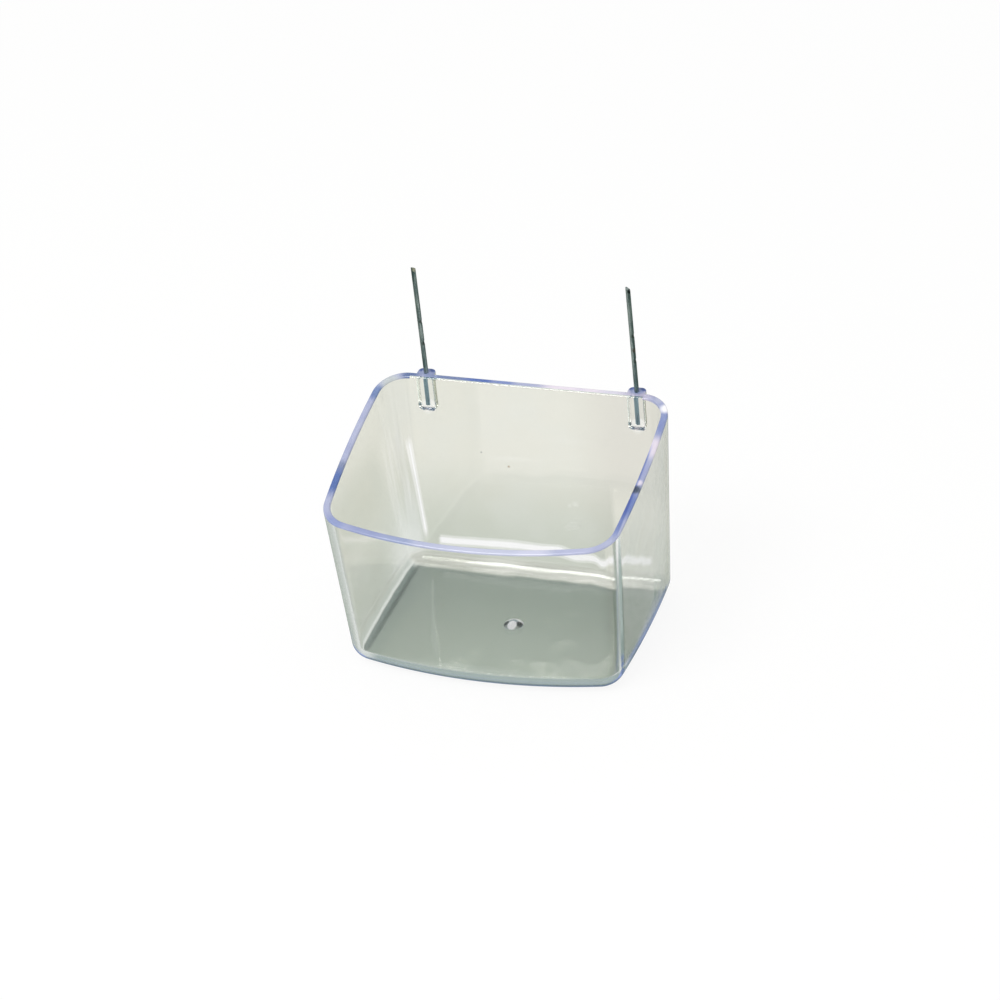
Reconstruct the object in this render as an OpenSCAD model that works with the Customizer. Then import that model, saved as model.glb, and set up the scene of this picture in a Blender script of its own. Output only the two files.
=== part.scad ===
// Clear hook-on seed cup with two wires pressed into sockets on its back wall.
// Millimetres. X right, Y to the back, Z up, origin at the centre of the flat base.
// Run with node = "all", or with one name of NODES.

/* [Cup outline, measured at the middle of the slanted rim] */
// Widest outside width of the cup
cup_width = 80; // [60:0.5:110]
// Height of the rim plane above the base, at the middle of the cup
rim_height = 49.9; // [38:0.1:70]
// Slope of the rim plane, rising to the back, in degrees
rim_slope = 11.9; // [0:0.1:16]
// Draft of the walls, which narrow to the base, in degrees
wall_draft = 3.3; // [0.5:0.1:4]
// Radius of the gently bowed side walls
side_bow_radius = 318; // [200:1:500]
// Reach of a side wall from its widest point back to the corner
side_reach_back = 16.9; // [10:0.1:24]
// Reach of a side wall from its widest point forward to the corner
side_reach_front = 21.7; // [14:0.1:30]
// Radius of the two back corners
back_corner_radius = 8.0; // [7:0.1:12]
// Radius of the two front corners
front_corner_radius = 9.3; // [8:0.1:14]
// Radius of the bowed front wall
front_bow_radius = 134.6; // [90:0.1:220]

/* [Cup wall] */
// Thickness of the wall, measured level
wall_thickness = 1.85; // [1.4:0.05:2.4]
// Thickness of the floor
floor_thickness = 1.85; // [1.4:0.05:2.4]
// Rounding between the walls and the base, outside
base_round = 5.0; // [3:0.1:6]
// Rounding between the walls and the floor, inside
floor_round = 3.2; // [2:0.1:5]
// Rounding of both edges of the rim
rim_round = 0.5; // [0.2:0.05:0.65]

/* [Gate mark] */
// How far the gate mark sits right of the middle
gate_side = 1.2; // [-3:0.1:3]
// How far the gate mark sits behind the middle
gate_back = 0.1; // [-3:0.1:3]
// Width of the raised dome on the floor
gate_dome_width = 5.2; // [3:0.1:6]
// Height of the raised dome
gate_dome_rise = 0.95; // [0.4:0.05:1.2]
// Width of the dimple under the dome
gate_dimple_width = 3.8; // [2:0.1:4]
// Depth of the dimple
gate_dimple_depth = 0.9; // [0.6:0.05:1]
// Width of the gate stub in the dimple
gate_stub_width = 1.3; // [0.8:0.1:1.6]
// Length of the gate stub, which stays above the base
gate_stub_length = 0.45; // [0.2:0.05:0.5]

/* [Sockets] */
// Distance between the two sockets
socket_spacing = 57.1; // [44:0.1:62]
// How far the pair of sockets sits right of the middle
socket_shift = 0.85; // [-1.5:0.05:1.5]
// Width of a socket
socket_width = 4.8; // [3.8:0.1:6]
// How far a socket stands out behind the rim
socket_stand_out = 2.1; // [1.8:0.05:3]
// Rounding of the upright edges and of the lower corners
socket_round = 1.3; // [0.6:0.05:1.6]
// Length of a socket below the rim
socket_length = 10.6; // [9:0.1:15]
// Step from the rim down to the top of a socket
socket_step = 0.15; // [0.05:0.05:0.5]
// Plastic below the wire, at the closed end of a socket
socket_end = 1.4; // [0.8:0.1:2]

/* [Wires] */
// Diameter of the wire
wire_diameter = 1.2; // [1:0.05:1.4]
// How far the wire axis lies behind the outside of the rim
wire_set_back = 0.5; // [0.3:0.05:1]
// Free length of the left wire above the rim
left_wire_free = 31.3; // [20:0.1:50]
// Free length of the right wire above the rim
right_wire_free = 30.2; // [20:0.1:50]
// Slant of the cut ends, in degrees from level
wire_cut_slant = 38; // [10:1:50]
// Clearance between a wire and its bore, on the radius
wire_clearance = 0.01; // [0.01:0.005:0.03]

/* [Hidden] */
$fn = 48;
// Overrun of every cutting tool, as a share of the wall
over_share = 0.3;
over = wall_thickness * over_share;
// Steps along each arc of the outline and round each rounding
corner_steps = 14;
side_steps = 4;
bow_steps = 11;
round_steps = 8;
rim_steps = 4;
// Share of the room in a corner that a rounding may take
room_share = 0.98;
// Angles
half_turn = 180;
right_angle = 90;

draft_run = tan(wall_draft);
slope_run = tan(rim_slope);

// Centres and turning angles of the tangent arcs of the outline, before it is centred
half_width = cup_width / 2;
side_x = half_width - side_bow_radius;
side_back_turn = asin(side_reach_back / (side_bow_radius - back_corner_radius));
side_front_turn = asin(side_reach_front / (side_bow_radius - front_corner_radius));
back_x = side_x + (side_bow_radius - back_corner_radius) * cos(side_back_turn);
front_x = side_x + (side_bow_radius - front_corner_radius) * cos(side_front_turn);
front_turn = acos(front_x / (front_bow_radius - front_corner_radius));
bow_drop = (front_bow_radius - front_corner_radius) * sin(front_turn);
// Heading where the slanted rim of a drafted wall is widest
widest_turn = asin(draft_run * slope_run);

// The outline is centred on the origin, front to back
side_y = (side_reach_front - bow_drop + front_bow_radius - side_reach_back - back_corner_radius) / 2;
back_y = side_y + side_reach_back;
front_y = side_y - side_reach_front;
bow_y = front_y + bow_drop;

// Outside of the rim at the middle of the back
rim_back_y = (back_y + back_corner_radius) / (1 - draft_run * slope_run);
rim_back_z = rim_height + slope_run * rim_back_y;

// Roundings at the foot of the walls, no larger than the tightest corner has room for
tight_corner = min(back_corner_radius, front_corner_radius);
function room(radius, height) =
    room_share * (radius - height * draft_run) / (1 / cos(wall_draft) - draft_run);
base_rounding = min(base_round, room(tight_corner, rim_height));
floor_rounding = min(floor_round, room(tight_corner - wall_thickness, rim_height - floor_thickness));

// Sockets and wires
socket_front = rim_back_y - (wall_thickness + draft_run * socket_length) / 2;
socket_back = rim_back_y + socket_stand_out;
socket_foot = rim_back_z - socket_length;
socket_top = rim_back_z + slope_run * socket_stand_out + over;
wire_radius = wire_diameter / 2;
wire_y = rim_back_y + wire_set_back;
wire_foot = socket_foot + socket_end;
wire_rim = rim_height + slope_run * wire_y;
left_x = socket_shift - socket_spacing / 2;
right_x = socket_shift + socket_spacing / 2;

// One station of the outline is [centre x, centre y, radius, heading of the outward normal]
function arc(x, y, radius, from, to, steps) =
    [for (i = [1:steps]) [x, y, radius, from + (to - from) * i / steps]];
function mirrored(s) = [-s[0], s[1], s[2], half_turn - s[3]];

front_middle = [0, bow_y, front_bow_radius, -right_angle];
right_half = concat(
    arc(0, bow_y, front_bow_radius, -right_angle, -front_turn, bow_steps),
    arc(front_x, front_y, front_corner_radius, -front_turn, -side_front_turn, corner_steps),
    arc(side_x, side_y, side_bow_radius, -side_front_turn, widest_turn, side_steps),
    arc(side_x, side_y, side_bow_radius, widest_turn, side_back_turn, side_steps),
    arc(back_x, back_y, back_corner_radius, side_back_turn, right_angle, corner_steps)
);
left_half = [for (i = [len(right_half) - 1:-1:0]) mirrored(right_half[i])];
outline = concat([front_middle], right_half, left_half);

// Level ring: every station moved out by a distance, at one height
function level_ring(out, z) =
    [for (s = outline) [s[0] + (s[2] + out) * cos(s[3]), s[1] + (s[2] + out) * sin(s[3]), z]];

// Slanted ring: inset from the outside of the wall, and dropped below the rim plane
function slanted_height(s, inset, drop) =
    (slope_run * (s[1] + (s[2] - inset) * sin(s[3])) - drop) / (1 - slope_run * draft_run * sin(s[3]));
function slanted_ring(inset, drop) = [
    for (s = outline)
        let (rise = slanted_height(s, inset, drop), r = s[2] - inset + draft_run * rise)
            [s[0] + r * cos(s[3]), s[1] + r * sin(s[3]), rim_height + rise]
];

// Rings of the rounding between a drafted wall, set in by a distance, and a level face
function foot_rings(inset, face, radius) = [
    for (i = [0:round_steps])
        let (
            turn = (right_angle - wall_draft) * i / round_steps,
            centre = -inset - (rim_height - face - radius) * draft_run - radius / cos(wall_draft)
        )
            level_ring(centre + radius * sin(turn), face + radius * (1 - cos(turn)))
];

// Rings over the rounded edge of the rim, from the wall to its top
function rim_rings(inset, way) = [
    for (i = [0:rim_steps])
        let (turn = right_angle * i / rim_steps)
            slanted_ring(inset + way * rim_round * (1 - cos(turn)), rim_round * (1 - sin(turn)))
];

function backward(list) = [for (i = [len(list) - 1:-1:0]) list[i]];

// The skin runs up the outside, over the rim and down the inside to the floor
cup_rings = concat(
    foot_rings(0, 0, base_rounding),
    rim_rings(0, 1),
    backward(rim_rings(wall_thickness, -1)),
    backward(foot_rings(wall_thickness, floor_thickness, floor_rounding))
);

module lofted_skin(rings) {
    count = len(rings[0]);
    last = len(rings) - 1;
    polyhedron(
        points = [for (ring = rings) for (point = ring) point],
        faces = concat(
            [[for (i = [0:count - 1]) i]],
            [for (k = [0:last - 1]) for (i = [0:count - 1])
                let (a = k * count + i, b = k * count + (i + 1) % count)
                    [a, a + count, b + count, b]],
            [[for (i = [count - 1:-1:0]) last * count + i]]
        )
    );
}

// Everything above a plane that lies parallel to the rim, a little below it
module above_rim(drop) {
    reach = cup_width + side_reach_back + side_reach_front;
    translate([0, 0, rim_height - drop])
        rotate([rim_slope, 0, 0])
            translate([-reach, -reach, 0])
                cube([2 * reach, 2 * reach, reach]);
}

// A bar whose two corners at the far end are rounded, drawn from y = near to y = far
module round_ended_bar(near, far) {
    w = socket_width / 2;
    translate([-w, near]) square([socket_width, far - socket_round - near]);
    translate([socket_round - w, near]) square([socket_width - 2 * socket_round, far - near]);
    for (side = [-1, 1])
        translate([side * (w - socket_round), far - socket_round]) circle(socket_round);
}

// A socket is rounded at the back in plan, and at its foot in rear view
module socket(x) {
    translate([x, 0, 0])
        difference() {
            intersection() {
                translate([0, 0, socket_foot - over])
                    linear_extrude(socket_top - socket_foot + over)
                        round_ended_bar(socket_front, socket_back);
                translate([0, socket_back + over, 0])
                    rotate([right_angle, 0, 0])
                        linear_extrude(socket_back - socket_front + 2 * over)
                            mirror([0, 1])
                                round_ended_bar(-socket_top - over, -socket_foot);
            }
            above_rim(socket_step);
        }
}

module bore(x) {
    translate([x, wire_y, wire_foot])
        cylinder(r = wire_radius + wire_clearance, h = socket_top - wire_foot);
}

// Ball radius of a cap of the given width and rise
function cap_radius(width, rise) = (pow(width / 2, 2) + pow(rise, 2)) / (2 * rise);

module gate_dome() {
    r = cap_radius(gate_dome_width, gate_dome_rise);
    intersection() {
        translate([0, 0, floor_thickness + gate_dome_rise - r]) sphere(r);
        translate([0, 0, floor_thickness / 2])
            cylinder(d = gate_dome_width, h = floor_thickness + gate_dome_rise);
    }
}

module gate_dimple() {
    r = cap_radius(gate_dimple_width, gate_dimple_depth);
    translate([0, 0, gate_dimple_depth - r]) sphere(r);
}

module gate_stub() {
    translate([0, 0, gate_dimple_depth - gate_stub_length])
        cylinder(d = gate_stub_width, h = gate_stub_length + over);
}

module cup() {
    color([0.82, 0.85, 0.83, 0.35]) {
        difference() {
            union() {
                lofted_skin(cup_rings);
                socket(left_x);
                socket(right_x);
                translate([gate_side, gate_back, 0]) gate_dome();
            }
            bore(left_x);
            bore(right_x);
            translate([gate_side, gate_back, 0]) gate_dimple();
        }
        translate([gate_side, gate_back, 0]) gate_stub();
    }
}

// A straight wire, cut off at a slant by side cutters; turn is the heading of the low side
module wire(x, free, turn) {
    tip = wire_rim + free;
    translate([x, wire_y, 0])
        difference() {
            translate([0, 0, wire_foot]) cylinder(r = wire_radius, h = tip - wire_foot);
            translate([0, 0, tip - wire_radius * tan(wire_cut_slant)])
                rotate([0, wire_cut_slant, turn])
                    translate([-wire_diameter, -wire_diameter, 0])
                        cube(2 * wire_diameter);
        }
}

module left_wire() {
    color([0.55, 0.6, 0.58]) wire(left_x, left_wire_free, right_angle);
}

module right_wire() {
    color([0.55, 0.6, 0.58]) wire(right_x, right_wire_free, 0);
}

cup();
left_wire();
right_wire();
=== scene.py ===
# %% [markdown]
# # A clear seed cup with two hanging wires
#
# The object is a small seed cup for a bird cage. It is one thin shell of clear moulded plastic, with two
# blind sockets on its back wall and a straight galvanised wire pressed into each. This lesson loads the
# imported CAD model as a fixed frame, models a smooth shell and two wires over it, gives them their
# finishes, and sets up a pale studio with the camera of the photograph.

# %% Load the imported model
import math

import bpy
import bmesh
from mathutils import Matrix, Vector


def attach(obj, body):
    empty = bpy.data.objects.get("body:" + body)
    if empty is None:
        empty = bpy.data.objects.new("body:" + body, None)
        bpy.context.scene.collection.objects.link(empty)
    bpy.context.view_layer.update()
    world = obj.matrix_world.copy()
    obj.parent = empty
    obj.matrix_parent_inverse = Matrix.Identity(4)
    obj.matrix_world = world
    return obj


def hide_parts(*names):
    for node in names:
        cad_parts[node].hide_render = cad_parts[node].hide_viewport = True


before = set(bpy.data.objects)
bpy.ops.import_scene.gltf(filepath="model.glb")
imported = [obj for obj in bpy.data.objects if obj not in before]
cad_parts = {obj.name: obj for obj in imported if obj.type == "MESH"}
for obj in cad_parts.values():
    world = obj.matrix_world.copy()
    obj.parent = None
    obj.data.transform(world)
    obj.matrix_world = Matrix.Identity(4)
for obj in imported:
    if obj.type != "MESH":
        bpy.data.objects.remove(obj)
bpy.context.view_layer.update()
print("nodes:", sorted(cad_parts))

# %% [markdown]
# ## Sizes
#
# The sizes are those of the CAD model, in millimetres. The outline of the rim is a chain of arcs that
# touch without a kink: a bowed front, a tight front corner, a nearly straight side and a tight back
# corner. From the radii and reaches, a little trigonometry gives the centre of each arc.

# %% Sizes of the cup
MM = 0.001
CUP_WIDTH, RIM_HEIGHT = 80.0, 49.9
RIM_SLOPE, WALL_DRAFT = math.radians(11.9), math.radians(3.3)
FRONT_RADIUS, FRONT_CORNER, SIDE_RADIUS, BACK_CORNER = 134.6, 9.3, 318.0, 8.0
REACH_BACK, REACH_FRONT = 16.9, 21.7
WALL, BASE_ROUND, FLOOR_ROUND, RIM_ROUND = 1.85, 5.0, 3.2, 0.5

draft_run = math.tan(WALL_DRAFT)
slope_run = math.tan(RIM_SLOPE)
side_x = CUP_WIDTH / 2 - SIDE_RADIUS
back_turn = math.asin(REACH_BACK / (SIDE_RADIUS - BACK_CORNER))
side_turn = math.asin(REACH_FRONT / (SIDE_RADIUS - FRONT_CORNER))
back_x = side_x + (SIDE_RADIUS - BACK_CORNER) * math.cos(back_turn)
front_x = side_x + (SIDE_RADIUS - FRONT_CORNER) * math.cos(side_turn)
front_turn = math.acos(front_x / (FRONT_RADIUS - FRONT_CORNER))
bow_drop = (FRONT_RADIUS - FRONT_CORNER) * math.sin(front_turn)
side_y = (REACH_FRONT - bow_drop + FRONT_RADIUS - REACH_BACK - BACK_CORNER) / 2
back_y = side_y + REACH_BACK
front_y = side_y - REACH_FRONT
bow_y = front_y + bow_drop
rim_back_y = (back_y + BACK_CORNER) / (1 - draft_run * slope_run)
rim_back_z = RIM_HEIGHT + slope_run * rim_back_y
print(f"front wall at y {bow_y - FRONT_RADIUS:.2f} mm, back of the rim at z {rim_back_z:.2f} mm")

# %% [markdown]
# ## Small helpers
#
# An operator acts on whatever is selected, so every step starts by clearing the selection. Vertices are
# then picked by a rule on their place. The finished objects stay at the origin, with their place in
# their mesh.

# %% Selection helpers
def object_mode():
    if bpy.context.object and bpy.context.object.mode != "OBJECT":
        bpy.ops.object.mode_set(mode="OBJECT")


def only(piece):
    object_mode()
    bpy.ops.object.select_all(action="DESELECT")
    piece.select_set(True)
    bpy.context.view_layer.objects.active = piece


def added(name):
    """Name the primitive that was just added, and put its place into its mesh."""
    piece = bpy.context.object
    piece.name = name
    only(piece)
    bpy.ops.object.transform_apply(location=True, rotation=True, scale=True)
    return piece


def edit(piece, kind="VERT"):
    only(piece)
    bpy.ops.object.mode_set(mode="EDIT")
    bpy.ops.mesh.select_mode(type=kind)
    bpy.ops.mesh.select_all(action="DESELECT")


def pick(piece, rule, kind="verts"):
    """Select the vertices, or the edges or faces by their middles, that meet a rule on millimetres."""
    mesh = bmesh.from_edit_mesh(piece.data)
    count = 0
    for item in getattr(mesh, kind):
        if kind == "verts":
            place = item.co
        elif kind == "edges":
            place = (item.verts[0].co + item.verts[1].co) / 2
        else:
            place = item.calc_center_median()
        item.select_set(bool(rule(place / MM)))
        count += item.select
    mesh.select_flush_mode()
    bmesh.update_edit_mesh(piece.data)
    return count


def apply_modifier(piece, kind, **settings):
    only(piece)
    modifier = piece.modifiers.new(kind.title(), kind)
    for key, value in settings.items():
        setattr(modifier, key, value)
    bpy.ops.object.modifier_apply(modifier=modifier.name)


def join_solids(piece, tool, operation):
    """Boolean the tool into the piece, and drop the tool."""
    apply_modifier(piece, "BOOLEAN", object=tool, operation=operation, solver="EXACT")
    bpy.data.objects.remove(tool)


def above_rim(place, drop=0.0):
    """Height of a place above the slanted rim plane, in millimetres along Z."""
    return place.z - (RIM_HEIGHT - drop + slope_run * place.y)


# %% [markdown]
# ## The profile of the wall
#
# A moulded cup has the same wall all the way round: a tapered wall, a rounded foot and a flat floor.
# That asks for a profile that is swept along the outline. It starts as a small upright plane with the
# thickness of the wall, standing at the front. Its lower edge is extruded down to make the corner and
# the corner inwards to make the start of the floor. The top is then pushed outwards, which gives the
# taper, and the two corners of the foot are rounded by a vertex bevel.

# %% Profile of the wall
FOOT_STEPS, FOOT_REACH = 14, 0.97
front_rim_y = bow_y - FRONT_RADIUS
profile_top = rim_back_z + 2 * WALL
foot_y = front_rim_y + RIM_HEIGHT * draft_run
# the foot ends just before the middle of the tightest corner, where both roundings have run out
foot_end = front_rim_y + FOOT_REACH * BACK_CORNER
bpy.ops.object.select_all(action="DESELECT")
bpy.ops.mesh.primitive_plane_add(
    size=1, rotation=(math.pi / 2, 0, math.pi / 2),
    location=(0, (foot_y + WALL / 2) * MM, (profile_top + WALL) / 2 * MM))
bpy.context.object.scale = (WALL * MM, (profile_top - WALL) * MM, 1)
cup = added("clear_cup")

edit(cup, "EDGE")
pick(cup, lambda p: abs(p.z - WALL) < 0.01, "edges")
bpy.ops.mesh.extrude_region_move(TRANSFORM_OT_translate={"value": (0, 0, -WALL * MM)})
bpy.ops.mesh.select_all(action="DESELECT")
pick(cup, lambda p: abs(p.y - foot_y - WALL) < 0.01 and p.z < WALL, "edges")
foot_reach = foot_end - foot_y - WALL
bpy.ops.mesh.extrude_region_move(TRANSFORM_OT_translate={"value": (0, foot_reach * MM, 0)})
# the taper: every point of the wall moves out by its height times the draft
mesh = bmesh.from_edit_mesh(cup.data)
for vert in mesh.verts:
    if vert.co.y < (foot_y + WALL + 0.01) * MM:
        vert.co.y -= vert.co.z * draft_run
bmesh.update_edit_mesh(cup.data)
bpy.ops.mesh.select_all(action="SELECT")
bpy.ops.mesh.dissolve_limited(angle_limit=math.radians(0.5))
bpy.ops.mesh.select_mode(type="VERT")
for height, radius in ((0, BASE_ROUND), (WALL, FLOOR_ROUND)):
    bpy.ops.mesh.select_all(action="DESELECT")
    pick(cup, lambda p: abs(p.z - height) < 0.01 and p.y < foot_end - 0.1)
    # a vertex bevel is measured along the edges, from the corner to where its arc starts
    reach = radius * math.tan((math.pi / 2 - WALL_DRAFT) / 2)
    bpy.ops.mesh.bevel(offset=reach * MM, offset_type="OFFSET", segments=FOOT_STEPS, affect="VERTICES")
# only the outline stays, open at the inner end of the foot
bpy.ops.mesh.select_mode(type="EDGE")
bpy.ops.mesh.select_all(action="SELECT")
bpy.ops.mesh.delete(type="ONLY_FACE")
pick(cup, lambda p: abs(p.y - foot_end) < 0.01, "edges")
bpy.ops.mesh.delete(type="EDGE")
bpy.ops.mesh.select_all(action="DESELECT")
pick(cup, lambda p: p.z > profile_top - 0.01, "edges")
bpy.ops.mesh.delete(type="EDGE")
print("profile points:", len(bmesh.from_edit_mesh(cup.data).verts))

# %% [markdown]
# ## Sweeping the profile
#
# The outline is a chain of arcs, so the profile is spun about the centre of each arc in turn. The end
# that a spin leaves selected is the start of the next. The straight back is one extrusion to the middle,
# and a mirror makes the other half.

# %% Sweep of the wall
bpy.ops.mesh.select_all(action="SELECT")
BACK_STEPS = 8
ARCS = (
    # centre, turn and number of steps
    ((0, bow_y), math.pi / 2 - front_turn, 24),
    ((front_x, front_y), front_turn - side_turn, 28),
    ((side_x, side_y), side_turn + back_turn, 20),
    ((back_x, back_y), math.pi / 2 - back_turn, 28),
)
for centre, turn, steps in ARCS:
    # the operator turns clockwise for a positive angle
    bpy.ops.mesh.spin(steps=steps, angle=-turn, axis=(0, 0, 1),
                      center=(centre[0] * MM, centre[1] * MM, 0))
for _ in range(BACK_STEPS):
    bpy.ops.mesh.extrude_region_move(TRANSFORM_OT_translate={"value": (-back_x / BACK_STEPS * MM, 0, 0)})
object_mode()
apply_modifier(cup, "MIRROR", use_axis=(True, False, False), merge_threshold=0.01 * MM)
edit(cup)
bpy.ops.mesh.select_all(action="SELECT")
bpy.ops.mesh.remove_doubles(threshold=0.002 * MM)
print("swept wall:", len(cup.data.vertices), "points")

# %% [markdown]
# ## The slanted rim
#
# The wall now stands too high all round, so one slanted bisect cuts it to the plane of the rim. The two
# cut edges are bridged into the face of the rim, and both edges of that face get the small rounding that
# a moulded rim has. The two open loops at the foot are filled with the flat floor and the flat base.

# %% Rim, floor and base
bpy.ops.mesh.select_all(action="SELECT")
rim_normal = Vector((0, -math.sin(RIM_SLOPE), math.cos(RIM_SLOPE)))
bpy.ops.mesh.bisect(plane_co=(0, 0, RIM_HEIGHT * MM), plane_no=rim_normal, clear_outer=True)
bpy.ops.mesh.select_mode(type="EDGE")
bpy.ops.mesh.select_all(action="DESELECT")
pick(cup, lambda p: abs(above_rim(p)) < 0.02, "edges")
bpy.ops.mesh.bridge_edge_loops()
bpy.ops.mesh.select_all(action="DESELECT")
mesh = bmesh.from_edit_mesh(cup.data)
for edge in mesh.edges:
    on_rim = all(abs(above_rim(vert.co / MM)) < 0.02 for vert in edge.verts)
    along = on_rim and len(edge.link_faces) == 2 and any(
        abs(above_rim(face.calc_center_median() / MM)) > 0.1 for face in edge.link_faces)
    edge.select_set(along)
bmesh.update_edit_mesh(cup.data)
bpy.ops.mesh.bevel(offset=RIM_ROUND * MM, offset_type="OFFSET", segments=5, affect="EDGES",
                   clamp_overlap=False)
for height in (0, WALL):
    bpy.ops.mesh.select_all(action="DESELECT")
    mesh = bmesh.from_edit_mesh(cup.data)
    for edge in mesh.edges:
        flat = all(abs(vert.co.z / MM - height) < 0.001 for vert in edge.verts)
        edge.select_set(flat and len(edge.link_faces) == 1)
    bmesh.update_edit_mesh(cup.data)
    bpy.ops.mesh.edge_face_add()
bpy.ops.mesh.select_all(action="SELECT")
bpy.ops.mesh.normals_make_consistent(inside=False)
mesh = bmesh.from_edit_mesh(cup.data)
print("shell:", len(mesh.faces), "faces, open edges:",
      sum(len(edge.link_faces) != 2 for edge in mesh.edges), "volume mm3:",
      round(mesh.calc_volume() / MM ** 3, 1))
object_mode()

# %% [markdown]
# ## The sockets
#
# Each wire stands in a blind socket that is moulded onto the outside of the back wall. The socket begins
# as a cube at its size and place. Its two upright back edges and its lower edges are bevelled round, its
# top is cut parallel to the rim, and the top's edges get a small rounding. A union makes it one body
# with the wall: in clear plastic, two overlapping bodies would show a false wall between them.

# %% Sockets
SOCKET_WIDTH, SOCKET_OUT, SOCKET_ROUND = 4.8, 2.1, 1.3
SOCKET_LENGTH, SOCKET_STEP, SOCKET_END = 10.6, 0.15, 1.4
SOCKET_SPACING, SOCKET_SHIFT, SOCKET_EDGE = 57.1, 0.85, 0.25
WIRE_RADIUS, PRESS_FIT, WIRE_BACK = 0.6, 0.01, 0.5

socket_back = rim_back_y + SOCKET_OUT
socket_foot = rim_back_z - SOCKET_LENGTH
socket_front = rim_back_y - (WALL + draft_run * SOCKET_LENGTH) / 2
socket_top = rim_back_z + slope_run * SOCKET_OUT + WALL
wire_y = rim_back_y + WIRE_BACK
wire_foot = socket_foot + SOCKET_END
socket_places = {"left": SOCKET_SHIFT - SOCKET_SPACING / 2,
                 "right": SOCKET_SHIFT + SOCKET_SPACING / 2}


def make_socket(x):
    bpy.ops.object.select_all(action="DESELECT")
    bpy.ops.mesh.primitive_cube_add(size=1, location=(
        x * MM, (socket_front + socket_back) / 2 * MM, (socket_foot + socket_top) / 2 * MM))
    bpy.context.object.scale = (SOCKET_WIDTH * MM, (socket_back - socket_front) * MM,
                                (socket_top - socket_foot) * MM)
    socket = added("socket")
    edit(socket, "EDGE")
    middle = (socket_foot + socket_top) / 2
    pick(socket, lambda p: abs(p.y - socket_back) < 0.01 and abs(p.z - middle) < 0.01, "edges")
    bpy.ops.mesh.bevel(offset=SOCKET_ROUND * MM, segments=10, affect="EDGES")
    bpy.ops.mesh.select_all(action="DESELECT")
    pick(socket, lambda p: abs(p.z - socket_foot) < 0.01 and p.y > socket_front + 0.01, "edges")
    bpy.ops.mesh.bevel(offset=0.9 * SOCKET_ROUND * MM, segments=8, affect="EDGES")
    bpy.ops.mesh.select_all(action="SELECT")
    bpy.ops.mesh.bisect(plane_co=(0, 0, (RIM_HEIGHT - SOCKET_STEP) * MM), plane_no=rim_normal,
                        clear_outer=True, use_fill=True)
    bpy.ops.mesh.select_all(action="DESELECT")
    mesh = bmesh.from_edit_mesh(socket.data)
    for edge in mesh.edges:
        edge.select_set(all(abs(above_rim(vert.co / MM, SOCKET_STEP)) < 0.01
                            and vert.co.y / MM > socket_front + 0.01 for vert in edge.verts))
    bmesh.update_edit_mesh(socket.data)
    bpy.ops.mesh.bevel(offset=SOCKET_EDGE * MM, segments=3, affect="EDGES")
    bpy.ops.mesh.select_all(action="SELECT")
    bpy.ops.mesh.normals_make_consistent(inside=False)
    object_mode()
    return socket


def make_round(name, x, y, low, high, radius, segments):
    bpy.ops.object.select_all(action="DESELECT")
    bpy.ops.mesh.primitive_cylinder_add(vertices=segments, radius=radius * MM, depth=(high - low) * MM,
                                        location=(x * MM, y * MM, (low + high) / 2 * MM))
    return added(name)


for x in socket_places.values():
    join_solids(cup, make_socket(x), "UNION")
for x in socket_places.values():
    bore = make_round("bore", x, wire_y, wire_foot + PRESS_FIT, socket_top, WIRE_RADIUS - PRESS_FIT, 48)
    join_solids(cup, bore, "DIFFERENCE")
print("with sockets:", len(cup.data.polygons), "faces")

# %% [markdown]
# ## The gate mark
#
# Molten plastic enters the mould through a gate in the middle of the floor, and leaves a small raised
# dome on the inside, a dimple underneath and a short broken stub. The dome and the dimple are spheres
# that a bisect cuts down to a cap, joined to the floor and cut out of the base.

# %% Gate mark
GATE_X, GATE_Y = 1.2, 0.1
DOME_WIDTH, DOME_RISE, DIMPLE_WIDTH, DIMPLE_DEPTH = 5.2, 0.95, 3.8, 0.9
STUB_WIDTH, STUB_LENGTH = 1.3, 0.45


def make_cap(name, width, rise, base, cut):
    """The top of a ball: its rim is as wide as asked at the base, and it is cut off at a lower plane."""
    radius = ((width / 2) ** 2 + rise ** 2) / (2 * rise)
    bpy.ops.object.select_all(action="DESELECT")
    bpy.ops.mesh.primitive_uv_sphere_add(segments=64, ring_count=96, radius=radius * MM,
                                         location=(GATE_X * MM, GATE_Y * MM, (base + rise - radius) * MM))
    cap = added(name)
    edit(cap)
    bpy.ops.mesh.select_all(action="SELECT")
    bpy.ops.mesh.bisect(plane_co=(0, 0, cut * MM), plane_no=(0, 0, -1), clear_outer=True, use_fill=True)
    bpy.ops.mesh.select_all(action="SELECT")
    bpy.ops.mesh.normals_make_consistent(inside=False)
    object_mode()
    return cap


join_solids(cup, make_cap("dome", DOME_WIDTH, DOME_RISE, WALL, WALL - 0.3), "UNION")
join_solids(cup, make_cap("dimple", DIMPLE_WIDTH, DIMPLE_DEPTH, 0, -0.3), "DIFFERENCE")
stub = make_round("stub", GATE_X, GATE_Y, DIMPLE_DEPTH - STUB_LENGTH, DIMPLE_DEPTH + 0.3,
                  STUB_WIDTH / 2, 32)
join_solids(cup, stub, "UNION")

only(cup)
bpy.ops.object.shade_smooth_by_angle(angle=math.radians(32))
apply_modifier(cup, "WEIGHTED_NORMAL", keep_sharp=True, weight=80)
counts = bmesh.new()
counts.from_mesh(cup.data)
print("cup:", len(counts.faces), "faces, open edges:", sum(len(e.link_faces) != 2 for e in counts.edges),
      "volume mm3:", round(counts.calc_volume() / MM ** 3, 1))
counts.free()

# %% [markdown]
# ## The wires
#
# A wire is a straight length of galvanised steel that a side cutter has cut off at a slant. It is a
# cylinder with rings of edges along it, so that it can be nicked. The end is a slanted bisect, and its
# edge is rounded a little, as a cutter crushes it. Each wire has two small nicks on its right side,
# where pliers held it.

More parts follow.
